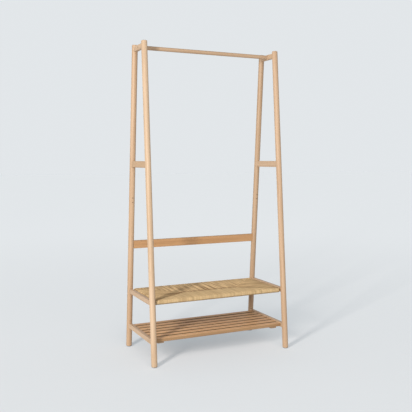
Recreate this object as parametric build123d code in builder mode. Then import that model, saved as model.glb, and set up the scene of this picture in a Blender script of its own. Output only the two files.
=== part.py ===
"""Free-standing wooden clothes rack with a woven bench seat and a slatted shoe shelf.

Two A-shaped end frames of round legs carry a hanging bar, a back rail, the seat and the shelf.
Millimetres, +Z up, front towards -Y. The origin is on the floor, in the middle of the rack.
"""

import os
from math import hypot

from build123d import *

os.makedirs("parts", exist_ok=True)

# Overall sizes
rack_height = 1700.0  # floor to the top of the leg axes
frame_spacing = 798.0  # between the middle planes of the two end frames
foot_spread = 416.0  # between the front and back leg axes at the floor
top_spread = 148.0  # between the front and back leg axes at the top

# Legs and their glides
leg_diameter = 32.0
leg_top_round = 4.0
glide_diameter = 26.0
glide_height = 5.0
glide_chamfer = 1.5
glide_pin_diameter = 4.0
glide_pin_length = 16.0

# Rails of the end frames: height of the middle above the floor, and height of the board
rail_thickness = 20.0
rail_edge_round = 2.5
top_rail_drop = 25.0  # middle of the top rail below the top of the leg axes
top_rail_height = 28.0
crossbar_z = 1050.0
crossbar_height = 35.0
seat_rail_z = 328.5
seat_rail_height = 26.0
shelf_rail_z = 126.0
shelf_rail_height = 26.0

# Mortise and tenon joints of the end frames
tenon_thickness = 10.0
tenon_shoulder = 4.0  # wood left above and below a tenon
tenon_past_axis = 4.0  # how far a tenon passes the axis of the leg
tenon_root = 6.0  # how far a tenon starts inside its rail
joint_gap = 0.15  # glue line round a joint

# Hanging bar
bar_diameter = 22.0
bar_socket_depth = 6.0

# Back rail
back_rail_z = 595.0
back_rail_height = 44.0
back_rail_thickness = 20.0
back_rail_bolt_pitch = 24.0

# Woven seat and its inner frame
cord_diameter = 5.0
seat_thickness = 26.0  # over the cords
seat_setback = 4.0  # front edge of the seat behind the axes of the front legs
seat_end_gap = 8.0  # between the end of the seat and the side rail
seat_corner_round = 11.0
seat_frame_width = 30.0
seat_frame_round = 4.0
seat_tenon_thickness = 6.0
seat_tenon_width = 18.0
seat_tenon_wall = 1.75  # wood between a tenon and the bolt hole behind it

# Slatted shelf
slat_count = 7
slat_width = 37.0
slat_thickness = 17.0
slat_drop = 4.0  # top of the slats below the top of the side rails
slat_leg_gap = 11.0  # between the outer slats and the legs
slat_edge_round = 2.5
batten_width = 36.0
batten_thickness = 10.0
batten_edge_round = 2.0
batten_end_offset = 43.0  # from the ends of the slats to the middle of a batten
batten_setback = 9.0  # ends of the battens behind the outer slats

# Bolts, with barrel nuts or threaded inserts
bolt_diameter = 6.0
bolt_head_diameter = 10.5
bolt_head_height = 5.0
bolt_head_chamfer = 1.0
bolt_key_size = 4.0  # across the flats of the hexagon socket
bolt_key_depth = 2.5
bolt_recess = 1.0  # head below the face of the wood
bolt_past_nut = 3.0
bolt_play = 0.25  # radial room round a bolt, its head and its spacer
thread_play = 0.05
nut_diameter = 10.0
nut_length = 13.0
nut_depth_in_wood = 30.0  # from the end of the board to the axis of the barrel nut
insert_diameter = 10.0
insert_length = 15.0
nut_play = 0.1  # radial room round a barrel nut or an insert
spacer_diameter = 12.0

# Countersunk screws of the battens
screw_diameter = 4.0
screw_head_diameter = 8.0
screw_head_angle = 90.0
screw_length = 22.0
screw_point = 4.0

# Spare fixing holes of the back legs, closed by plugs
plug_diameter = 5.5
plug_depth = 10.0
plug_proud = 0.6
plug_heights = (836.0, 861.0)

# Sizes and places that follow from the ones above
SIDES = {"left": -1, "right": 1}
ENDS = {"front": -1, "back": 1}
BOTH = tuple(SIDES.values())
leg_radius = leg_diameter / 2
leg_run = (foot_spread - top_spread) / 2
top_rail_z = rack_height - top_rail_drop
leg_length = hypot(rack_height, leg_run)
leg_surface = leg_radius * leg_length / rack_height  # level distance from a leg's axis to its face


def leg_axis_y(z):
    """Distance from the middle plane of the rack to the axis of a leg at height z."""
    return foot_spread / 2 - leg_run * z / rack_height


leg_x = frame_spacing / 2
leg_outer_x = leg_x + leg_radius
leg_inner_x = leg_x - leg_radius
rail_inner_x = leg_x - rail_thickness / 2
rail_outer_x = leg_x + rail_thickness / 2

bolt_hole_radius = bolt_diameter / 2 + bolt_play
head_hole_radius = bolt_head_diameter / 2 + bolt_play
head_hole_depth = bolt_head_height + bolt_recess
rail_seat_x = rail_outer_x - head_hole_depth
leg_seat_x = leg_outer_x - head_hole_depth
nut_hole_radius = nut_diameter / 2 + nut_play
nut_bolt_depth = nut_depth_in_wood + nut_diameter / 2 + bolt_past_nut
insert_hole_radius = insert_diameter / 2 + nut_play
insert_bolt_depth = insert_length + bolt_past_nut

bar_half_length = rail_inner_x + bar_socket_depth

seat_half_depth = leg_axis_y(seat_rail_z) - seat_setback
seat_half_length = rail_inner_x - seat_end_gap
seat_edge_round = seat_frame_round + cord_diameter
seat_bottom_z = seat_rail_z - seat_thickness / 2
seat_frame_height = seat_thickness - 2 * cord_diameter
seat_frame_bottom_z = seat_rail_z - seat_frame_height / 2
seat_frame_half_depth = seat_half_depth - cord_diameter
seat_frame_half_length = seat_half_length - cord_diameter
seat_bolt_y = seat_frame_half_depth - seat_frame_width / 2
seat_end_rail_x = seat_frame_half_length - seat_frame_width / 2
seat_end_rail_half = seat_bolt_y - seat_frame_width / 2
seat_tenon_depth = seat_frame_width / 2 - bolt_hole_radius - seat_tenon_wall

slat_top_z = shelf_rail_z + shelf_rail_height / 2 - slat_drop
slat_mid_z = slat_top_z - slat_thickness / 2
slat_bottom_z = slat_top_z - slat_thickness
shelf_half_depth = leg_axis_y(shelf_rail_z) - leg_radius - slat_leg_gap
outer_slat_y = shelf_half_depth - slat_width / 2
slat_pitch = 2 * outer_slat_y / (slat_count - 1)
slat_ys = [-outer_slat_y + slat_pitch * number for number in range(slat_count)]
batten_x = rail_inner_x - batten_end_offset
batten_half_length = shelf_half_depth - batten_setback
batten_bottom_z = slat_bottom_z - batten_thickness
screw_head_height = (screw_head_diameter - screw_diameter) / 2

# End frame rails by name: height of the middle and of the board
FRAME_RAILS = {
    "top_rail": (top_rail_z, top_rail_height),
    "crossbar": (crossbar_z, crossbar_height),
    "seat_rail": (seat_rail_z, seat_rail_height),
    "shelf_rail": (shelf_rail_z, shelf_rail_height),
}

# Bolts through the end frame rails: the Y and Z of each
RAIL_BOLTS = {
    "top_rail": [(0, top_rail_z)],
    "crossbar": [],
    "seat_rail": [(end * seat_bolt_y, seat_rail_z) for end in ENDS.values()],
    "shelf_rail": [(end * outer_slat_y, slat_mid_z) for end in ENDS.values()],
}

# Plane of the two back legs: X along the rack, y up along the legs, normal to the front
back_plane = Plane(
    origin=(0, leg_axis_y(back_rail_z), back_rail_z),
    x_dir=(1, 0, 0),
    z_dir=(0, -rack_height, -leg_run),
)
back_bolt_points = [
    back_plane.from_local_coords(Vector(0, step * back_rail_bolt_pitch, 0)) for step in (-0.5, 0.5)
]


def write(piece, name):
    """Label a finished piece and write it."""
    piece.part.label = name
    export_step(piece.part, f"parts/{name}.step")


def leg_plane(side, end):
    """Plane across a leg at the floor, with its normal up along the leg."""
    foot = (side * leg_x, end * foot_spread / 2, 0)
    return Plane(origin=foot, x_dir=(1, 0, 0), z_dir=(0, -end * leg_run, rack_height))


def facing_x(side, x, y, z):
    """Plane square to X, facing out of the rack on the given side, x from the middle plane."""
    return Plane(origin=(side * x, y, z), x_dir=(0, 1, 0), z_dir=(side, 0, 0))


def facing_y(end, x, y, z):
    """Plane square to Y, facing the given end, with its x axis along X."""
    return Plane(origin=(x, y, z), x_dir=(1, 0, 0), z_dir=(0, end, 0))


def facing_down(x, y, z):
    """Level plane that faces down."""
    return Plane(origin=(x, y, z), x_dir=(1, 0, 0), z_dir=(0, 0, -1))


def spots(planes):
    """Locations of a list of planes."""
    return [plane.location for plane in planes]


# Legs: leaning dowels, cut level above the glides, with a mortise for each rail
for side_name, side in SIDES.items():
    for end_name, end in ENDS.items():
        with BuildPart() as leg:
            with BuildSketch(leg_plane(side, end).offset(-leg_diameter)):
                Circle(leg_radius)
            extrude(amount=leg_length + leg_diameter)
            fillet(leg.faces().sort_by(Axis.Z)[-1].edges(), leg_top_round)
            split(bisect_by=Plane.XY.offset(glide_height), keep=Keep.TOP)
            for rail_z, rail_height in FRAME_RAILS.values():
                tenon_height = rail_height - 2 * tenon_shoulder
                with BuildSketch(facing_y(end, side * leg_x, 0, rail_z)):
                    Rectangle(tenon_thickness + 2 * joint_gap, tenon_height + 2 * joint_gap)
                mortise_end = leg_axis_y(rail_z) + tenon_past_axis + joint_gap
                extrude(amount=mortise_end, mode=Mode.SUBTRACT)
            with Locations(facing_down(side * leg_x, end * leg_axis_y(glide_height), glide_height).location):
                Hole(glide_pin_diameter / 2 + joint_gap, glide_pin_length + joint_gap)
            if end_name == "back":
                bolt_planes = [facing_x(side, leg_outer_x, spot.Y, spot.Z) for spot in back_bolt_points]
                with Locations(*spots(bolt_planes)):
                    CounterBoreHole(bolt_hole_radius, head_hole_radius, head_hole_depth, leg_diameter)
                plug_planes = [
                    facing_y(-1, side * leg_x, leg_axis_y(plug_z) - leg_surface, plug_z)
                    for plug_z in plug_heights
                ]
                with Locations(*spots(plug_planes)):
                    Hole(plug_diameter / 2 + joint_gap, plug_depth)
        write(leg, f"leg_{end_name}_{side_name}")

# Glides: round pads under the feet, each held by its pin
for side_name, side in SIDES.items():
    for end_name, end in ENDS.items():
        foot = Plane(origin=(side * leg_x, end * leg_axis_y(glide_height), 0))
        with BuildPart() as glide:
            with BuildSketch(foot):
                Circle(glide_diameter / 2)
            extrude(amount=glide_height)
            chamfer(glide.faces().sort_by(Axis.Z)[0].edges(), glide_chamfer)
            with BuildSketch(foot.offset(glide_height)):
                Circle(glide_pin_diameter / 2)
            extrude(amount=glide_pin_length)
        write(glide, f"glide_{end_name}_{side_name}")

# Rails of the end frames: softened boards, scribed to the round legs, with a tenon at each end
for rail_name, (rail_z, rail_height) in FRAME_RAILS.items():
    reach = leg_axis_y(rail_z)
    for side_name, side in SIDES.items():
        with BuildPart() as rail:
            with BuildSketch(facing_y(1, side * leg_x, 0, rail_z)):
                RectangleRounded(rail_thickness, rail_height, rail_edge_round)
            extrude(amount=reach, both=True)
            for end in ENDS.values():
                with BuildSketch(leg_plane(side, end)):
                    Circle(leg_radius + joint_gap)
                extrude(amount=leg_length, mode=Mode.SUBTRACT)
                tenon_start = end * (reach - leg_radius - tenon_root)
                with BuildSketch(facing_y(end, side * leg_x, tenon_start, rail_z)):
                    Rectangle(tenon_thickness, rail_height - 2 * tenon_shoulder)
                extrude(amount=leg_radius + tenon_root + tenon_past_axis)
            for bolt_y, bolt_z in RAIL_BOLTS[rail_name]:
                with Locations(facing_x(side, rail_outer_x, bolt_y, bolt_z).location):
                    CounterBoreHole(bolt_hole_radius, head_hole_radius, head_hole_depth, rail_thickness)
            if rail_name == "top_rail":
                with BuildSketch(facing_x(side, rail_inner_x, 0, top_rail_z)):
                    Circle(bar_diameter / 2 + joint_gap)
                extrude(amount=bar_socket_depth, mode=Mode.SUBTRACT)
        write(rail, f"{rail_name}_{side_name}")

# Hanging bar: a round bar let into the top rails, bored at both ends for its inserts
bar_end_planes = [facing_x(side, bar_half_length, 0, top_rail_z) for side in BOTH]
with BuildPart() as hanging_bar:
    with BuildSketch(facing_x(1, -bar_half_length, 0, top_rail_z)):
        Circle(bar_diameter / 2)
    extrude(amount=2 * bar_half_length)
    with Locations(*spots(bar_end_planes)):
        Hole(insert_hole_radius, insert_bolt_depth)
write(hanging_bar, "hanging_bar")

# Back rail: a board in the plane of the back legs, scribed to them, bored for bolts and barrel nuts
back_nut_x = leg_inner_x - nut_depth_in_wood
with BuildPart() as back_rail:
    with BuildSketch(back_plane.offset(-back_rail_thickness / 2)):
        Rectangle(2 * leg_x, back_rail_height)
    extrude(amount=back_rail_thickness)
    fillet(back_rail.edges().filter_by(Axis.X), rail_edge_round)
    for side in BOTH:
        with BuildSketch(leg_plane(side, ENDS["back"])):
            Circle(leg_radius + joint_gap)
        extrude(amount=leg_length, mode=Mode.SUBTRACT)
        with Locations(*spots(facing_x(side, leg_inner_x, spot.Y, spot.Z) for spot in back_bolt_points)):
            Hole(bolt_hole_radius, nut_bolt_depth)
    with BuildSketch(back_plane.offset(-back_rail_thickness / 2)):
        with GridLocations(2 * back_nut_x, back_rail_bolt_pitch, 2, 2):
            Circle(nut_hole_radius)
    extrude(amount=(back_rail_thickness + nut_length) / 2, mode=Mode.SUBTRACT)
write(back_rail, "back_rail")

# Inner frame of the seat, long rails: bored at the ends for bolts and nuts, mortised for the end rails
seat_nut_x = seat_frame_half_length - nut_depth_in_wood
for end_name, end in ENDS.items():
    rail_y = end * seat_bolt_y
    with BuildPart() as long_rail:
        with BuildSketch(facing_x(1, -seat_frame_half_length, rail_y, seat_rail_z)):
            RectangleRounded(seat_frame_width, seat_frame_height, seat_frame_round)
        extrude(amount=2 * seat_frame_half_length)
        with Locations(*spots(facing_x(side, seat_frame_half_length, rail_y, seat_rail_z) for side in BOTH)):
            Hole(bolt_hole_radius, nut_bolt_depth)
        nut_planes = [facing_down(side * seat_nut_x, rail_y, seat_frame_bottom_z) for side in BOTH]
        with Locations(*spots(nut_planes)):
            Hole(nut_hole_radius, (seat_frame_height + nut_length) / 2)
        for side in BOTH:
            with BuildSketch(facing_y(end, side * seat_end_rail_x, end * seat_end_rail_half, seat_rail_z)):
                Rectangle(seat_tenon_width + 2 * joint_gap, seat_tenon_thickness + 2 * joint_gap)
            extrude(amount=seat_tenon_depth + joint_gap, mode=Mode.SUBTRACT)
    write(long_rail, f"seat_frame_{end_name}")

# Inner frame of the seat, end rails: tenoned into the long rails
for side_name, side in SIDES.items():
    with BuildPart() as end_rail:
        with BuildSketch(facing_y(1, side * seat_end_rail_x, 0, seat_rail_z)):
            RectangleRounded(seat_frame_width, seat_frame_height, seat_frame_round)
        extrude(amount=seat_end_rail_half, both=True)
        with BuildSketch(facing_y(1, side * seat_end_rail_x, 0, seat_rail_z)):
            Rectangle(seat_tenon_width, seat_tenon_thickness)
        extrude(amount=seat_end_rail_half + seat_tenon_depth, both=True)
    write(end_rail, f"seat_frame_{side_name}")

# Woven seat: two layers of cord round the inner frame, hollow between, holed for the spacers
with BuildPart() as woven_seat:
    with BuildSketch(Plane.XY.offset(seat_bottom_z)):
        RectangleRounded(2 * seat_half_length, 2 * seat_half_depth, seat_corner_round)
    extrude(amount=seat_thickness)
    fillet(woven_seat.edges().group_by(Axis.Z)[0], seat_edge_round)
    fillet(woven_seat.edges().group_by(Axis.Z)[-1], seat_edge_round)
    with BuildSketch(Plane.XY.offset(seat_frame_bottom_z - joint_gap)):
        Rectangle(2 * (seat_frame_half_length + joint_gap), 2 * (seat_frame_half_depth + joint_gap))
    extrude(amount=seat_frame_height + 2 * joint_gap, mode=Mode.SUBTRACT)
    for side in BOTH:
        for bolt_y, bolt_z in RAIL_BOLTS["seat_rail"]:
            with Locations(facing_x(side, seat_half_length, bolt_y, bolt_z).location):
                Hole(spacer_diameter / 2 + bolt_play, cord_diameter)
write(woven_seat, "woven_seat")

# Shelf slats: softened boards between the side rails, the outer two bored for inserts
for number, slat_y in enumerate(slat_ys, start=1):
    with BuildPart() as slat:
        with BuildSketch(facing_x(1, -rail_inner_x, slat_y, slat_mid_z)):
            RectangleRounded(slat_width, slat_thickness, slat_edge_round)
        extrude(amount=2 * rail_inner_x)
        with Locations(*spots(facing_down(side * batten_x, slat_y, slat_bottom_z) for side in BOTH)):
            Hole(screw_diameter / 2 + joint_gap, screw_length - batten_thickness + joint_gap)
        if number in (1, slat_count):
            with Locations(*spots(facing_x(side, rail_inner_x, slat_y, slat_mid_z) for side in BOTH)):
                Hole(insert_hole_radius, insert_bolt_depth)
    write(slat, f"shelf_slat_{number}")

# Shelf battens: short boards across the underside of the slats, countersunk for the screws
for side_name, side in SIDES.items():
    with BuildPart() as batten:
        with BuildSketch(Plane(origin=(side * batten_x, 0, batten_bottom_z))):
            Rectangle(batten_width, 2 * batten_half_length)
        extrude(amount=batten_thickness)
        fillet(batten.edges().group_by(Axis.Z)[0], batten_edge_round)
        with Locations(*spots(facing_down(side * batten_x, slat_y, batten_bottom_z) for slat_y in slat_ys)):
            CounterSinkHole(
                screw_diameter / 2 + joint_gap,
                screw_head_diameter / 2 + joint_gap,
                batten_thickness,
                screw_head_angle,
            )
    write(batten, f"shelf_batten_{side_name}")


def socket_bolt(length):
    """Bolt with its head above the XY plane and its shank below, with a hexagon socket."""
    with BuildPart() as bolt:
        with BuildSketch():
            Circle(bolt_head_diameter / 2)
        extrude(amount=bolt_head_height)
        chamfer(bolt.edges().group_by(Axis.Z)[-1], bolt_head_chamfer)
        with BuildSketch():
            Circle(bolt_diameter / 2)
        extrude(amount=-length)
        with BuildSketch(Plane.XY.offset(bolt_head_height)):
            RegularPolygon(bolt_key_size / 2, 6, major_radius=False)
        extrude(amount=-bolt_key_depth, mode=Mode.SUBTRACT)
    return bolt.part


def barrel_nut():
    """Barrel nut with its axis along Z and its threaded hole along X."""
    with BuildPart() as nut:
        with BuildSketch():
            Circle(nut_diameter / 2)
        extrude(amount=nut_length / 2, both=True)
        with BuildSketch(Plane.YZ):
            Circle(bolt_diameter / 2 + thread_play)
        extrude(amount=nut_diameter, both=True, mode=Mode.SUBTRACT)
    return nut.part


def ring(outer_radius, inner_radius, length):
    """Round sleeve below the XY plane."""
    with BuildPart() as sleeve:
        with BuildSketch():
            Circle(outer_radius)
            Circle(inner_radius, mode=Mode.SUBTRACT)
        extrude(amount=-length)
    return sleeve.part


def countersunk_screw():
    """Wood screw that points up, with the flat of its head on the XY plane."""
    with BuildPart() as screw:
        with BuildSketch(Plane.XZ):
            with BuildLine():
                Polyline(
                    (0, 0),
                    (screw_head_diameter / 2, 0),
                    (screw_diameter / 2, screw_head_height),
                    (screw_diameter / 2, screw_length - screw_point),
                    (0, screw_length),
                    close=True,
                )
            make_face()
        revolve(axis=Axis.Z)
    return screw.part


# Hanging bar bolts and the inserts that they turn into
bar_bolt_end_x = bar_half_length - insert_bolt_depth
with BuildPart() as bar_bolts:
    with Locations(*spots(facing_x(side, rail_seat_x, 0, top_rail_z) for side in BOTH)):
        add(socket_bolt(rail_seat_x - bar_bolt_end_x))
write(bar_bolts, "bar_bolts")

insert = ring(insert_diameter / 2, bolt_diameter / 2 + thread_play, insert_length)
with BuildPart() as bar_inserts:
    with Locations(*spots(bar_end_planes)):
        add(insert)
write(bar_inserts, "bar_inserts")

# Back rail bolts and barrel nuts
with BuildPart() as back_rail_bolts:
    for side in BOTH:
        with Locations(*spots(facing_x(side, leg_seat_x, spot.Y, spot.Z) for spot in back_bolt_points)):
            add(socket_bolt(leg_seat_x - leg_inner_x + nut_bolt_depth))
write(back_rail_bolts, "back_rail_bolts")

with BuildPart() as back_rail_nuts:
    for side in BOTH:
        for spot in back_bolt_points:
            nut_origin = (side * back_nut_x, spot.Y, spot.Z)
            with Locations(Plane(origin=nut_origin, x_dir=(1, 0, 0), z_dir=back_plane.z_dir).location):
                add(barrel_nut())
write(back_rail_nuts, "back_rail_nuts")

# Seat bolts, the spacers between the rails and the seat, and barrel nuts
seat_bolt_spots = RAIL_BOLTS["seat_rail"]
with BuildPart() as seat_bolts:
    for side in BOTH:
        with Locations(*spots(facing_x(side, rail_seat_x, y, z) for y, z in seat_bolt_spots)):
            add(socket_bolt(rail_seat_x - seat_frame_half_length + nut_bolt_depth))
write(seat_bolts, "seat_bolts")

with BuildPart() as seat_spacers:
    for side in BOTH:
        with Locations(*spots(facing_x(side, rail_inner_x, y, z) for y, z in seat_bolt_spots)):
            add(ring(spacer_diameter / 2, bolt_hole_radius, rail_inner_x - seat_frame_half_length))
write(seat_spacers, "seat_spacers")

with BuildPart() as seat_nuts:
    for side in BOTH:
        with Locations(*[(side * seat_nut_x, y, z) for y, z in seat_bolt_spots]):
            add(barrel_nut())
write(seat_nuts, "seat_nuts")

# Shelf bolts and inserts
shelf_bolt_spots = RAIL_BOLTS["shelf_rail"]
with BuildPart() as shelf_bolts:
    for side in BOTH:
        with Locations(*spots(facing_x(side, rail_seat_x, y, z) for y, z in shelf_bolt_spots)):
            add(socket_bolt(rail_seat_x - rail_inner_x + insert_bolt_depth))
write(shelf_bolts, "shelf_bolts")

with BuildPart() as shelf_inserts:
    for side in BOTH:
        with Locations(*spots(facing_x(side, rail_inner_x, y, z) for y, z in shelf_bolt_spots)):
            add(insert)
write(shelf_inserts, "shelf_inserts")

# Screws that hold the slats to the battens
with BuildPart() as slat_screws:
    with Locations(*[(side * batten_x, y, batten_bottom_z) for side in BOTH for y in slat_ys]):
        add(countersunk_screw())
write(slat_screws, "slat_screws")

# Plugs of the spare fixing holes, a little proud of the back legs
with BuildPart() as leg_plugs:
    for side in BOTH:
        for plug_z in plug_heights:
            plug_y = leg_axis_y(plug_z) - leg_surface + plug_depth - joint_gap
            with BuildSketch(facing_y(-1, side * leg_x, plug_y, plug_z)):
                Circle(plug_diameter / 2)
            extrude(amount=plug_depth - joint_gap + plug_proud)
write(leg_plugs, "leg_plugs")
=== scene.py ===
# %% [markdown]
# A clothes rack of pale wood stands in a bright room. Two A-shaped end frames of round legs carry a hanging
# bar, a back rail, a woven bench seat and a slatted shoe shelf. The solid parts come from the CAD model, so
# this lesson is about finishes, the woven seat and light. The first cell loads the parts and can measure the
# box of any of them.

# %% Load the parts
import math
import random

import bpy
from mathutils import Euler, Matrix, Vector, noise


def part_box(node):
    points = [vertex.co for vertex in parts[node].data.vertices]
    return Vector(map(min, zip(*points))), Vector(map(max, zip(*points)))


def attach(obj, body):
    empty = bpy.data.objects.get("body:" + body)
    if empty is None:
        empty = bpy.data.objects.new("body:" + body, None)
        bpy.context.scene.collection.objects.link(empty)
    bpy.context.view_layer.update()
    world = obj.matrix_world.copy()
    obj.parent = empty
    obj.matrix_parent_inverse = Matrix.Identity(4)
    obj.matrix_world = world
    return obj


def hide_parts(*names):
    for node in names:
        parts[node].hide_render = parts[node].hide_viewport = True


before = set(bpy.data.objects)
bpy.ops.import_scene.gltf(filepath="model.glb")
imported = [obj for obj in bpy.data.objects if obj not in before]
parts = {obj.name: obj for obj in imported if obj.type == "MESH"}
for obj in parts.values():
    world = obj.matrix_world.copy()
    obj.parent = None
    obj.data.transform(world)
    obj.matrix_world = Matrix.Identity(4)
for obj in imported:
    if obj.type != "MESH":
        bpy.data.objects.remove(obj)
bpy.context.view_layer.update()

# %% [markdown]
# A finish in Blender is a small graph of nodes. Writing it as arithmetic keeps it readable, so this class
# wraps one output of a node. The usual operators add Math nodes, and one method makes any other node.

# %% Shader arithmetic


class Flow:
    """One output of a shader node, used as a value in sums."""

    def __init__(self, tree, socket=None):
        self.tree = tree
        self.socket = socket

    def node(self, kind, settings=None, sockets=None, out=0):
        """Add a node, set its settings, then fill its sockets, and return one of its outputs."""
        made = self.tree.nodes.new(kind)
        for name, value in (settings or {}).items():
            setattr(made, name, value)
        for name, value in (sockets or {}).items():
            if isinstance(value, Flow):
                self.tree.links.new(value.socket, made.inputs[name])
            else:
                made.inputs[name].default_value = value
        return Flow(self.tree, made.outputs[out])

    def math(self, operation, *values):
        return self.node("ShaderNodeMath", {"operation": operation}, dict(enumerate(values)))

    def __add__(self, other):
        return self.math("ADD", self, other)

    def __sub__(self, other):
        return self.math("SUBTRACT", self, other)

    def __rsub__(self, other):
        return self.math("SUBTRACT", other, self)

    def __mul__(self, other):
        return self.math("MULTIPLY", self, other)

    def __pow__(self, other):
        return self.math("POWER", self, other)

    def __abs__(self):
        return self.math("ABSOLUTE", self)

    __radd__ = __add__
    __rmul__ = __mul__

    def blend(self, low, high):
        """Colour between low and high, by this value."""
        return self.node("ShaderNodeMix", {"data_type": "RGBA"}, {0: self, 6: low, 7: high}, 2)

    def between(self, low, high):
        """This value as 0 at low and 1 at high, with a soft start and end."""
        spots = {"Value": self, "From Min": low, "From Max": high}
        return self.node("ShaderNodeMapRange", {"interpolation_type": "SMOOTHSTEP"}, spots)


# %% [markdown]
# Every finish starts in the same way: a new material with a few constants, then values that change over the
# surface. The finishes read Object coordinates. Every part has its place in its mesh, so these are metres in
# the rack's own frame, and a pattern stays on its part from every side.

# %% Helpers for finishes


def finish(name, roughness, **constants):
    """A new material, its shader node and a Flow to write its arithmetic with."""
    material = bpy.data.materials.new(name)
    material.use_nodes = True
    shader = material.node_tree.nodes["Principled BSDF"]
    shader.inputs["Roughness"].default_value = roughness
    for socket, value in constants.items():
        shader.inputs[socket.replace("_", " ")].default_value = value
    return material, shader, Flow(material.node_tree)


def feed(shader, **values):
    """Link values that change over the surface to the sockets of the shader."""
    for socket, value in values.items():
        value.tree.links.new(value.socket, shader.inputs[socket.replace("_", " ")])


def wear(part, material):
    """Give a part one material all over."""
    part.data.materials.clear()
    part.data.materials.append(material)


def rack_place(flow):
    """Where a point is, in metres in the rack's frame."""
    return flow.node("ShaderNodeTexCoord", out=3)


def split(vector):
    """The three numbers of a vector."""
    return [vector.node("ShaderNodeSeparateXYZ", None, {"Vector": vector}, i) for i in range(3)]


def cloudy(vector, scale, detail):
    """Noise of a number of waves per unit of a vector."""
    return vector.node("ShaderNodeTexNoise", None, {"Vector": vector, "Scale": scale, "Detail": detail})


# %% [markdown]
# The rack is made of pale wood with a matt lacquer. Timber is a bundle of fibres, so every feature of it is
# long along the grain and narrow across it: slow sway, broad figure, growth rings, fine fibres and short dark
# pores. The rings are circles about a pith line that lies outside the piece, bent a little by the sway. Cut
# ends drink more lacquer and look darker. Each piece gets its own offset, so that no two boards look the
# same. Some boards are tinted a little paler, browner or darker, partly as their own tone and partly as painted
# light and shade where the lamp falls unevenly. The shelf has painted shade: slats are darker on their sides,
# most of all in the gaps, and underneath, and the battens on top, where they show between slats.

# %% Wood finish
GRAIN_TURN = {"X": (0.0, -math.pi / 2, 0.0), "Y": (math.pi / 2, 0.0, 0.0), "Z": (0.0, 0.0, 0.0)}
GRAIN_AXIS = {"X": (1, 0, 0), "Y": (0, 1, 0), "Z": (0, 0, 1)}
SWAY = (14.0, 14.0, 1.3)  # noise waves per metre across, through and along the grain
FIGURE = (60.0, 60.0, 2.2)
FIBRE = (420.0, 420.0, 7.0)
PORE = (900.0, 900.0, 45.0)
RINGS = 330.0  # growth rings per metre
# colour of the painted shade in the shelf's gaps and under its slats
PAINTED_GAP_SHADE = (0.05, 0.024, 0.01, 1.0)
# tints of single boards: partly their own tone, partly painted light and shade for uneven lamp light
BOARD_TINTS_AND_SHADE = {"leg_front_left": (1.04, 1.065, 1.08), "leg_front_right": (0.99, 0.96, 0.94),
         "leg_back_left": (0.965, 0.93, 0.895), "leg_back_right": (0.875, 0.85, 0.82),
         "crossbar_left": (0.89, 0.84, 0.75), "hanging_bar": (0.945, 0.935, 0.93),
         "back_rail": (0.985, 0.895, 0.78)}
shelf_edge = -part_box("shelf_slat_1")[0].y


def shelf_painted_shade(kind, place, face):
    """How much painted shade a part of the shelf gets: a slat on its sides and below, a batten on top."""
    side, up = split(face)[1:]
    if kind == "batten":
        return 0.9 * up.between(0.5, 0.9)
    inner = 1.0 - abs(split(place)[1]).between(shelf_edge - 0.021, shelf_edge - 0.006)
    return abs(side).between(0.45, 0.85) * (0.54 + 0.31 * inner) + 0.6 * up.between(-0.5, -0.9)


def wood(part, along, light, dark, lean=0.0, shelf=None):
    """Wood for one part, with its grain along an axis, turned about X by the lean of a leg."""
    chance = random.Random(part.name)
    board_tint_and_shade = Vector(BOARD_TINTS_AND_SHADE.get(part.name, (1.0, 1.0, 1.0)))
    light, dark = Vector(light) * board_tint_and_shade, Vector(dark) * board_tint_and_shade
    material, shader, flow = finish(f"wood_{part.name}", 0.5, Specular_IOR_Level=0.35)
    turn = Euler(GRAIN_TURN[along])
    turn.x += lean
    low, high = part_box(part.name)
    middle = turn.to_matrix() @ ((low + high) / 2)
    place = rack_place(flow)
    grain = flow.node("ShaderNodeMapping", None, {"Vector": place, "Location": -middle, "Rotation": turn})
    board = chance.uniform(0.0, 90.0)

    def streaks(waves, detail):
        spread = flow.node("ShaderNodeMapping", None, {"Vector": grain, "Scale": waves})
        return flow.node("ShaderNodeTexNoise", {"noise_dimensions": "4D"},
                         {"Vector": spread, "W": board, "Scale": 1.0, "Detail": detail})

    sway = streaks(SWAY, 3.0)
    figure = streaks(FIGURE, 2.0).between(0.34, 0.66)
    fibre = streaks(FIBRE, 2.0)
    pores = streaks(PORE, 1.0).between(0.60, 0.72)
    across, through = split(grain)[:2]
    pith = chance.uniform(0.02, 0.07), chance.uniform(-0.03, 0.03)
    radius = ((across - pith[0]) ** 2.0 + (through - pith[1]) ** 2.0) ** 0.5
    rings = (radius + 0.03 * sway) * RINGS
    late = rings.math("FRACT", rings) ** 2.2
    face = flow.node("ShaderNodeNewGeometry", out=1)
    facing = flow.node("ShaderNodeVectorMath", {"operation": "DOT_PRODUCT"},
                       {0: face, 1: GRAIN_AXIS[along]}, 1)
    cut = abs(facing).between(0.75, 0.95)
    tone = 0.4 * sway + 0.4 * figure + 0.28 * late + 0.4 * fibre + 0.22 * pores + 0.4 * cut - 0.3
    colour_and_painted_shade = flow.node("ShaderNodeClamp", None, {"Value": tone}).blend((*light, 1.0), (*dark, 1.0))
    # painted shade on the shelf: sides and undersides of slats, tops of battens
    if shelf:
        colour_and_painted_shade = shelf_painted_shade(shelf, place, face).blend(colour_and_painted_shade, PAINTED_GAP_SHADE)
    relief = flow.node("ShaderNodeBump", None,
                       {"Strength": 0.12, "Distance": 0.0004, "Height": fibre - 0.6 * pores})
    feed(shader, Base_Color=colour_and_painted_shade, Roughness=0.42 + 0.16 * fibre + 0.10 * pores, Normal=relief)
    wear(part, material)


# %% [markdown]
# Each family of parts has its grain along its own length: legs stand up and lean to the middle, end rails run
# from front to back, and the bar, the back rail and the slats run from left to right. The legs, the end rails
# and the bar are the palest. The back rail, the slats and the hidden frame of the seat are browner.

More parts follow.
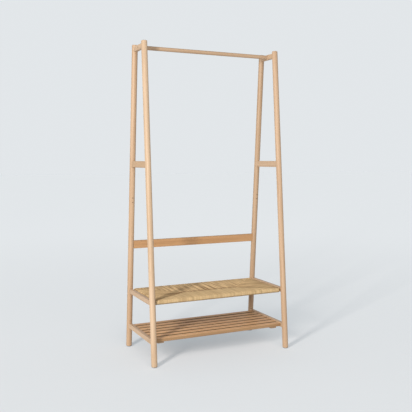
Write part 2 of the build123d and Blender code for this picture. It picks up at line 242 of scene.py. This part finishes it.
# %% Wooden parts
PALE = ((0.535, 0.368, 0.236), (0.383, 0.241, 0.1375))
BROWN = ((0.52, 0.32, 0.172), (0.342, 0.19, 0.091))
SLAT = ((0.755, 0.444, 0.217), (0.455, 0.244, 0.107))
low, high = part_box("leg_front_left")
leg_lean = math.atan2(high.y - low.y - (high.x - low.x), high.z - low.z)
for name, part in parts.items():
    if name.startswith("leg_") and name != "leg_plugs":
        wood(part, "Z", *PALE, lean=leg_lean if "front" in name else -leg_lean)
    elif name.startswith(("top_rail", "crossbar", "seat_rail", "shelf_rail")):
        wood(part, "Y", *PALE)
    elif name == "hanging_bar":
        wood(part, "X", *PALE)
    elif name.startswith("shelf_slat"):
        wood(part, "X", *SLAT, shelf="slat")
    elif name.startswith("shelf_batten"):
        wood(part, "Y", *PALE, shelf="batten")
    elif name in ("back_rail", "seat_frame_front", "seat_frame_back"):
        wood(part, "X", *BROWN)
    elif name in ("seat_frame_left", "seat_frame_right"):
        wood(part, "Y", *BROWN)
print("lean of the legs:", round(math.degrees(leg_lean), 2), "degrees")
print("wooden parts:", sum(p.data.materials[0].name.startswith("wood_") for p in parts.values()))

# %% [markdown]
# The hardware is small and mostly hidden. Bolts, nuts, inserts, spacers and screws are steel with yellow zinc
# on it, faint turning marks and cloudy patches. The glides under the feet are grey plastic, scuffed by the
# floor, and the plugs in the spare holes of the back legs are dark brown plastic.

# %% Hardware finishes


def plated_steel():
    material, shader, flow = finish("plated_steel", 0.35, Metallic=1.0)
    place = rack_place(flow)
    cloud = cloudy(place, 160.0, 4.0)
    marks = cloudy(place, 2600.0, 1.0)
    feed(shader, Base_Color=cloud.blend((0.66, 0.53, 0.32, 1), (0.82, 0.70, 0.48, 1)),
         Roughness=0.26 + 0.22 * cloud + 0.08 * marks)
    return material


def moulded_plastic(name, low, high):
    material, shader, flow = finish(name, 0.55, Specular_IOR_Level=0.4)
    place = rack_place(flow)
    cloud = cloudy(place, 220.0, 3.0)
    skin = cloudy(place, 3500.0, 1.0)
    dimple = flow.node("ShaderNodeBump", None, {"Strength": 0.08, "Distance": 0.0002, "Height": skin})
    feed(shader, Base_Color=cloud.blend((*low, 1), (*high, 1)), Roughness=0.45 + 0.25 * cloud, Normal=dimple)
    return material


steel = plated_steel()
glide_grey = moulded_plastic("glide_grey", (0.20, 0.19, 0.18), (0.30, 0.29, 0.275))
plug_brown = moulded_plastic("plug_brown", (0.09, 0.05, 0.03), (0.14, 0.08, 0.045))
for name, part in parts.items():
    if name.startswith("glide_"):
        wear(part, glide_grey)
    elif name == "leg_plugs":
        wear(part, plug_brown)
    elif name.endswith(("bolts", "inserts", "nuts", "spacers", "screws")):
        wear(part, steel)
plain = ("wood", "steel", "glide", "plug")  # names of the plain colours that the CAD parts come with
print("parts without a finish of their own:",
      [n for n, p in parts.items() if p.data.materials[0].name.split(".")[0] in plain])

# %% [markdown]
# The seat is woven like an envelope. Cords go over the four rails of a hidden frame, square to each rail, and
# meet along diagonal seams that run from the corners to a long middle seam, where each cord dives between its
# neighbours. The sizes of the weave come from the box of the plain seat slab, which it takes the place of.

# %% Sizes of the weave
seat_low, seat_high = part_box("woven_seat")
CORD = 0.005  # pitch of the cords
CORD_RADIUS = 0.00246
CORD_PRESS = 1.27  # how much wider than tall a cord is, so that neighbours press together
EDGE_BEND = 0.0065  # radius of a cord's middle line round an edge of the frame
SEAM_Y = -0.038  # middle seam, a little in front of the middle
SEAM_HALF = 0.165  # half the length of the middle seam
SAG = 0.003  # how far the seat dips from its edges to its seams
TUCK = 0.0032  # how far a cord dives at a seam
TUCK_RUN = 0.008  # length of cord that bends down there
LOOSE = 0.00033  # how far points stray, so that no cord is quite straight
STRAY = 400.0  # waves of that per metre
half_long, half_deep = seat_high.x, seat_high.y
top_z, low_z = seat_high.z - CORD_RADIUS, seat_low.z + CORD_RADIUS
print("seat over the cords:", [round(v, 4) for v in seat_high - seat_low])

# %% [markdown]
# Work by hand in Blender is a row of small acts: select one object, pull a ring of points along, pick points
# by their place. Three helpers say these in words.

# %% Helpers for modelling


def alone(obj):
    """Select one object and make it active."""
    bpy.ops.object.select_all(action="DESELECT")
    obj.select_set(True)
    bpy.context.view_layer.objects.active = obj


def pull(x, y, z):
    """Extrude what is selected by a step."""
    bpy.ops.mesh.extrude_region_move(TRANSFORM_OT_translate={"value": (x, y, z)})


def pick(obj, test):
    """Select the points of a mesh in edit mode that pass a test."""
    bpy.ops.object.mode_set(mode="OBJECT")
    for point in obj.data.vertices:
        point.select = test(point.co)
    bpy.ops.object.mode_set(mode="EDIT")


# %% [markdown]
# One cord is modelled as a bent tube. A ring of six points is pulled along the top, spun round the upper edge,
# pulled down, spun round the lower edge and pulled back below. Six sides are enough, because there are hundreds
# of cords and each is only a few millimetres thick. An Array modifier repeats the cord along its rail, which
# makes a comb. The ring is wider than the pitch, so that no light comes through between cords.

# %% One cord and its comb


def comb(name, outer, half_width, reach):
    """Cords side by side along X, over an edge that faces -Y at the distance outer."""
    count = int(2 * half_width / CORD)
    first = -CORD * (count - 1) / 2
    face_y = -outer + CORD_RADIUS
    bpy.ops.object.select_all(action="DESELECT")
    bpy.ops.mesh.primitive_circle_add(vertices=6, radius=CORD_RADIUS, location=(first, -reach, top_z - SAG),
                                      rotation=(math.pi / 2, 0, 0))
    cord = bpy.context.object
    cord.name = name
    cord.scale.x = CORD_PRESS
    bpy.ops.object.transform_apply(location=True, rotation=True, scale=True)
    bpy.ops.object.mode_set(mode="EDIT")
    bpy.ops.mesh.select_mode(type="VERT")
    bpy.ops.mesh.select_all(action="SELECT")
    run = outer - reach - CORD_RADIUS - EDGE_BEND
    pull(0, -run * 0.5, SAG * 0.75)
    pull(0, -run * 0.5, SAG * 0.25)
    bend = {"steps": 2, "angle": -math.pi / 2, "axis": (1, 0, 0)}
    bpy.ops.mesh.spin(**bend, center=(0, face_y + EDGE_BEND, top_z - EDGE_BEND))
    pull(0, 0, -(top_z - low_z - 2 * EDGE_BEND))
    bpy.ops.mesh.spin(**bend, center=(0, face_y + EDGE_BEND, low_z + EDGE_BEND))
    pull(0, run, SAG * 0.6)
    bpy.ops.object.mode_set(mode="OBJECT")
    repeat = cord.modifiers.new("repeat", "ARRAY")
    repeat.use_relative_offset = False
    repeat.use_constant_offset = True
    repeat.constant_offset_displace = (CORD, 0, 0)
    repeat.count = count
    alone(cord)
    bpy.ops.object.modifier_apply(modifier="repeat")
    return cord


# %% [markdown]
# A seam is a vertical plane. The comb is cut there with Bisect, everything beyond is cleared and the open ends
# are filled. A second cut a little inside adds a ring to every cord, and then the end rings are pushed towards
# the inside of the seat.

# %% Trim along the seams


def tuck_in(obj, spot, away):
    """Trim cords at a vertical plane, clear the side that away points to, and tuck their ends in."""
    away = Vector(away).normalized()
    spot = Vector(spot)
    bpy.ops.object.mode_set(mode="EDIT")
    bpy.ops.mesh.select_all(action="SELECT")
    bpy.ops.mesh.bisect(plane_co=spot, plane_no=away, clear_outer=True)
    bpy.ops.mesh.select_all(action="SELECT")
    bpy.ops.mesh.fill_holes(sides=0)
    bpy.ops.mesh.select_all(action="SELECT")
    bpy.ops.mesh.bisect(plane_co=spot - away * TUCK_RUN, plane_no=away)
    middle = (top_z + low_z) / 2
    for side in (1, -1):
        pick(obj, lambda co: abs((co - spot).dot(away)) < 1e-5 and (co.z - middle) * side > 0)
        bpy.ops.transform.translate(value=(0, 0, -side * TUCK))
    bpy.ops.object.mode_set(mode="OBJECT")


# %% [markdown]
# The seat has four sides: front and back with a long middle seam, left and right as triangles. Each is made as
# if it were the front one, trimmed between its seams, loosened by a little noise and turned into place. The
# noise comes from each point's place, so that every run makes the same seat.

# %% Four sides of the seat


def section(name, turn, outer, half_width, left_end, right_end):
    """One of the four sides of the seat, made as the front one and turned into place."""
    reach = -max(left_end[1], right_end[1]) - CORD
    cords = comb(name, outer, half_width, reach)
    for side, end in ((-1, left_end), (1, right_end)):
        corner = Vector((side * half_width, -outer + CORD, 0))
        along = Vector((*end, 0)) - corner
        tuck_in(cords, corner, (side * along.y, -side * along.x, 0))
    if left_end != right_end:
        tuck_in(cords, (*left_end, 0), (0, 1, 0))
    bpy.ops.object.mode_set(mode="EDIT")
    bpy.ops.mesh.select_all(action="SELECT")
    bpy.ops.mesh.normals_make_consistent(inside=False)
    bpy.ops.object.mode_set(mode="OBJECT")
    noise.seed_set(len(name))
    for point in cords.data.vertices:
        point.co += LOOSE * noise.noise_vector(point.co * STRAY)
    alone(cords)
    bpy.ops.transform.rotate(value=turn, orient_axis="Z", center_override=(0, 0, 0))
    bpy.ops.object.transform_apply(location=True, rotation=True, scale=True)
    bpy.ops.object.shade_smooth()
    return cords


def seam_ends(seam_y):
    """The two ends of the middle seam, as the front or the back side sees them."""
    return (-SEAM_HALF, seam_y), (SEAM_HALF, seam_y)


long_cords, deep_cords = half_long - CORD, half_deep - CORD
right_tip, left_tip = (SEAM_Y, -SEAM_HALF), (-SEAM_Y, -SEAM_HALF)
front = section("weave_front", 0.0, half_deep, long_cords, *seam_ends(SEAM_Y))
back = section("weave_back", math.pi, half_deep, long_cords, *seam_ends(-SEAM_Y))
right = section("weave_right", -math.pi / 2, half_long, deep_cords, right_tip, right_tip)
left = section("weave_left", math.pi / 2, half_long, deep_cords, left_tip, left_tip)
for cords in (front, back, left, right):
    corners = [Vector(c) for c in cords.bound_box]
    print(cords.name, [round(min(c[i] for c in corners), 3) for i in range(3)],
          [round(max(c[i] for c in corners), 3) for i in range(3)], "faces:", len(cords.data.polygons))

# %% [markdown]
# The cord is twisted from straw-coloured fibre. Each cord has its own shade, and groups of cords from one
# bundle of straw are lighter or darker together. The finish finds the cord that a point is on by dividing its
# place by the pitch of the cords, and follows the cord round the edge by adding the height to the distance from
# the middle. The twist is a slanted ripple. Shade is painted on the cords in the dip behind the front side's
# seams, and underneath.

# %% Cord finish
TWIST = 0.0085  # length of one turn of the twist


def cord_finish(name, across, sign, odd, bands, light, dark):
    """Twisted cord that lies side by side along one axis and runs along the other."""
    material, shader, flow = finish(name, 0.8, Specular_IOR_Level=0.2)
    place = rack_place(flow)
    axes = split(place)
    lane = axes[across] * (1 / CORD) + (0.5 if odd else 0.0)
    number = lane.math("FLOOR", lane)
    run = axes[1 - across] * sign + axes[2]
    shade = flow.node("ShaderNodeTexWhiteNoise", {"noise_dimensions": "1D"}, {"W": number + 0.37})
    single = {"X": number * 3.71, "Y": run * 9.0}
    streak = cloudy(flow.node("ShaderNodeCombineXYZ", None, single), 1.0, 2.0)
    bundle = {"X": number * 0.68, "Y": run * 5.0, "Z": 7.0 * len(name)}
    drift = cloudy(flow.node("ShaderNodeCombineXYZ", None, bundle), 1.0, 1.0)
    outward = flow.math("MAXIMUM", abs(axes[0]) - SEAM_HALF, 0.0)
    behind = axes[1] - SEAM_Y + outward * ((half_deep + SEAM_Y) / (half_long - SEAM_HALF))
    # painted shade in the dip behind the front side's seams
    seam_painted_shade = behind.between(0.035, 0.004) * behind.between(-0.004, 0.004)
    # painted shade on the lower bend and underside of the cords
    under_painted_shade = axes[2].between(low_z + 0.008, low_z)
    hair = cloudy(place, 900.0, 2.0)
    slant = (run * (1 / TWIST) + (lane - number) * 0.6) * (2 * math.pi)
    twist = slant.math("SINE", slant) * 0.5 + 0.5
    fibre = 0.34 * shade + 0.95 * streak + bands * (drift - 0.5) + 0.16 * twist + 0.22 * hair
    tone = fibre + 0.45 * seam_painted_shade + 0.7 * under_painted_shade - 0.40
    colour_and_painted_shade = flow.node("ShaderNodeClamp", None, {"Value": tone})
    relief = flow.node("ShaderNodeBump", None,
                       {"Strength": 0.5, "Distance": 0.0006, "Height": 0.7 * twist + 0.3 * hair})
    feed(shader, Base_Color=colour_and_painted_shade.blend((*light, 1.0), (*dark, 1.0)), Roughness=0.7 + 0.2 * hair,
         Normal=relief)
    return material


# %% [markdown]
# The front side is evenly straw-coloured, and the other three show stronger stripes. The four sides are joined
# into one piece, which rides on the rack and is shown in place of the plain seat slab.

# %% The joined seat
STRAW = ((0.655, 0.467, 0.252), (0.333, 0.216, 0.101))
RUSH = ((0.705, 0.492, 0.26), (0.27, 0.163, 0.075))
wear(front, cord_finish("cord_front", 0, 1, False, 0.8, *STRAW))
wear(back, cord_finish("cord_back", 0, -1, False, 3.2, *RUSH))
wear(left, cord_finish("cord_left", 1, 1, True, 2.2, *RUSH))
wear(right, cord_finish("cord_right", 1, -1, True, 2.2, *RUSH))
bpy.ops.object.select_all(action="DESELECT")
for cords in (front, back, left, right):
    cords.select_set(True)
bpy.context.view_layer.objects.active = front
bpy.ops.object.join()
front.name = "seat_weave"
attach(front, "root")
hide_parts("woven_seat")
print("seat weave faces:", len(front.data.polygons), "finishes:", len(front.data.materials))

# %% [markdown]
# The room is a plain pale floor under a bright even sky of the same tone, so floor and background melt
# together. The sky is dimmer overhead, as in a room with a dark ceiling. The key lamp is a tall soft strip near
# the rack, low at the front left: it was placed along the shadows of the front leg and the shelf on the real
# floor, and a narrow strip keeps the shadows of upright legs crisp. Its light fades with the distance, not with
# the square of it, so that both end frames are lit nearly alike. A wide weak sun from the front fills in.

# %% Lamps and sky
bpy.ops.object.light_add(type="AREA", location=(-2.88, -2.18, 1.63))
key = bpy.context.object
key.name = "key_lamp"
beam = Vector((0.0, 0.0, 0.6)) - key.location
key_range = beam.length
beam.normalize()
key_turn = beam.to_track_quat("-Z", "Y")
key.rotation_euler = key_turn.to_euler()
key.data.shape = "RECTANGLE"
key.data.size = 0.45
key.data.size_y = 1.4
key.data.energy = 125.0
key.visible_camera = False
key.data.use_nodes = True
fading = Flow(key.data.node_tree).node("ShaderNodeLightFalloff", None, {"Strength": 1 / key_range}, "Linear")
feed(key.data.node_tree.nodes["Emission"], Strength=fading)
print("key lamp is", round(key_range, 2), "m away")

bpy.ops.object.light_add(type="SUN", location=(-1.0, -4.0, 4.0))
fill = bpy.context.object
fill.name = "front_lamp"
fill.rotation_euler = Vector((0.25, 0.97, -1.0)).to_track_quat("-Z", "Y").to_euler()
fill.data.energy = 0.7
fill.data.angle = math.radians(40)

WALL = (0.764, 0.795, 0.819)
CEILING = (0.15, 0.155, 0.16)
world = bpy.data.worlds.new("bright_room")
world.use_nodes = True
bpy.context.scene.world = world
sky = Flow(world.node_tree)
aim = sky.node("ShaderNodeTexCoord", out=0)
height = split(aim)[2].between(0.25, 1.0)
feed(world.node_tree.nodes["Background"], Color=height.blend((*WALL, 1), (*CEILING, 1)))

# %% [markdown]
# A lamp so near lights the floor unevenly, and a white floor would be far too bright below it. So the floor has
# two layers: a grey skin that takes light and shadow, and a glow that makes up what is missing to the tone of
# the wall. The finish works out how much of the lamp's light falls on a point, from the distance and the two
# slants to three spots on the strip, with weights that give a good mean over its length. A small share is left
# uneven, as it is on a real floor, and right below the lamp the skin gets darker.

# %% Light on the floor
SPOTS = ((-0.775, 5 / 18), (0.0, 8 / 18), (0.775, 5 / 18))  # places on half the strip, and their weights
floor_grey, shader, flow = finish("floor_grey", 0.9, Specular_IOR_Level=0.0, Emission_Strength=1.0)
x, y = split(rack_place(flow))[:2]
lit = 0.0
for along, share in SPOTS:
    spot = key.location + key_turn @ Vector((0, along * key.data.size_y / 2, 0))
    across, deep = x - spot.x, y - spot.y
    span = across ** 2.0 + deep ** 2.0 + spot.z ** 2
    slant = across * beam.x + deep * beam.y - spot.z * beam.z
    power = share * key.data.energy / key_range * spot.z / math.pi ** 2
    lit = lit + slant.math("MAXIMUM", slant, 0.0) * span ** -1.5 * power
    print("spot of the strip at", [round(v, 2) for v in spot])

# %% [markdown]
# The skin is a little darker in blue than in red, because the wood sends warm light down into the shadow below
# the shelf. The tone rises slowly to that of the wall, which hides the line where floor and sky meet.

# %% Floor
SKIN = (0.55, 0.52, 0.495)
ROOM = (0.570, 0.585, 0.601)  # light of the sky and the front lamp on the open floor
UNEVEN, UNEVEN_MOST = 0.2, 0.07  # share of the lamp's light that is not evened out, and the most of it
BRIGHTEST = 1.05  # of the wall's tone, below the lamp
tone = 0.928 + 0.072 * ((x ** 2.0 + y ** 2.0) ** 0.5).between(0.8, 6.0)
evened = lit - flow.math("MINIMUM", UNEVEN * lit, UNEVEN_MOST)
skins, glows = {}, {}
for name, wall, skin, room in zip(("Red", "Green", "Blue"), WALL, SKIN, ROOM):
    skins[name] = flow.math("MINIMUM", BRIGHTEST * wall * tone * (lit + room) ** -1.0, skin)
    glows[name] = flow.math("MAXIMUM", wall * tone - skin * (evened + room), 0.0)
feed(shader, Base_Color=flow.node("ShaderNodeCombineColor", None, skins),
     Emission_Color=flow.node("ShaderNodeCombineColor", None, glows))
bpy.ops.object.select_all(action="DESELECT")
bpy.ops.mesh.primitive_plane_add(size=80.0, location=(0, 0, 0))
floor = bpy.context.object
floor.name = "floor"
wear(floor, floor_grey)
print("floor:", [round(v, 1) for v in floor.dimensions])

# %% [markdown]
# The camera stands about 3.5 metres away at the height of a chest, to the left of the rack, with a lens a
# little longer than normal. The place, the turn and the lens were fitted to the lines of the legs. A small
# shift moves the frame down, as on a camera that is held nearly level.

# %% Camera
bpy.ops.object.camera_add(location=(-1.5306, -3.2271, 1.0804),
                          rotation=(math.radians(90 - 2.7991), 0, math.radians(-25.2989)))
camera = bpy.context.object
camera.name = "camera"
camera.data.sensor_width = 36.0
camera.data.lens = 55.004
camera.data.shift_y = -0.04
bpy.context.scene.camera = camera
bpy.context.scene.view_settings.view_transform = "Standard"
print("camera", [round(v, 3) for v in camera.location], "lens", round(camera.data.lens, 1))
